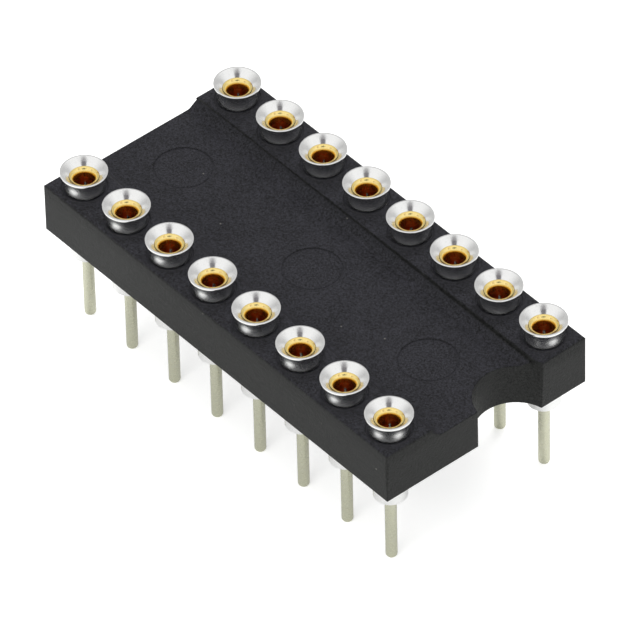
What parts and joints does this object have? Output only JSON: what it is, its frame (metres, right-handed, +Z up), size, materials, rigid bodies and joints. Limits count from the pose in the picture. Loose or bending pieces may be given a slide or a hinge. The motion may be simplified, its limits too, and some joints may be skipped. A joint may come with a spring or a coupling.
{
  "type": "dual-in-line chip socket",
  "caption": "Closed-frame dual-in-line chip socket: black moulded body with a round end notch, tinned turned contacts with gold spring clips.",
  "frame": {"origin": "centre of the contact grid, in the plane of the tips of the tails", "axes": "+Z up out of the contacts' mouths, +X along the rows towards the notched end with contact 1, +Y towards the row of contacts 1 to 8"},
  "size_m": [0.02, 0.0098, 0.0074],
  "materials": {
    "body_plastic": "satin black, glass-filled, fine-textured",
    "tinned_sleeve": "bright tin over turned brass",
    "gold_clip": "gold flash over spring copper"
  },
  "bodies": {
    "root": {"body": "body_plastic", "sleeve_01": "tinned_sleeve", "sleeve_02": "tinned_sleeve", "sleeve_03": "tinned_sleeve", "sleeve_04": "tinned_sleeve", "sleeve_05": "tinned_sleeve", "sleeve_06": "tinned_sleeve", "sleeve_07": "tinned_sleeve", "sleeve_08": "tinned_sleeve", "sleeve_09": "tinned_sleeve", "sleeve_10": "tinned_sleeve", "sleeve_11": "tinned_sleeve", "sleeve_12": "tinned_sleeve", "sleeve_13": "tinned_sleeve", "sleeve_14": "tinned_sleeve", "sleeve_15": "tinned_sleeve", "sleeve_16": "tinned_sleeve", "clip_01": "gold_clip", "clip_02": "gold_clip", "clip_03": "gold_clip", "clip_04": "gold_clip", "clip_05": "gold_clip", "clip_06": "gold_clip", "clip_07": "gold_clip", "clip_08": "gold_clip", "clip_09": "gold_clip", "clip_10": "gold_clip", "clip_11": "gold_clip", "clip_12": "gold_clip", "clip_13": "gold_clip", "clip_14": "gold_clip", "clip_15": "gold_clip", "clip_16": "gold_clip"}
  },
  "joints": []
}
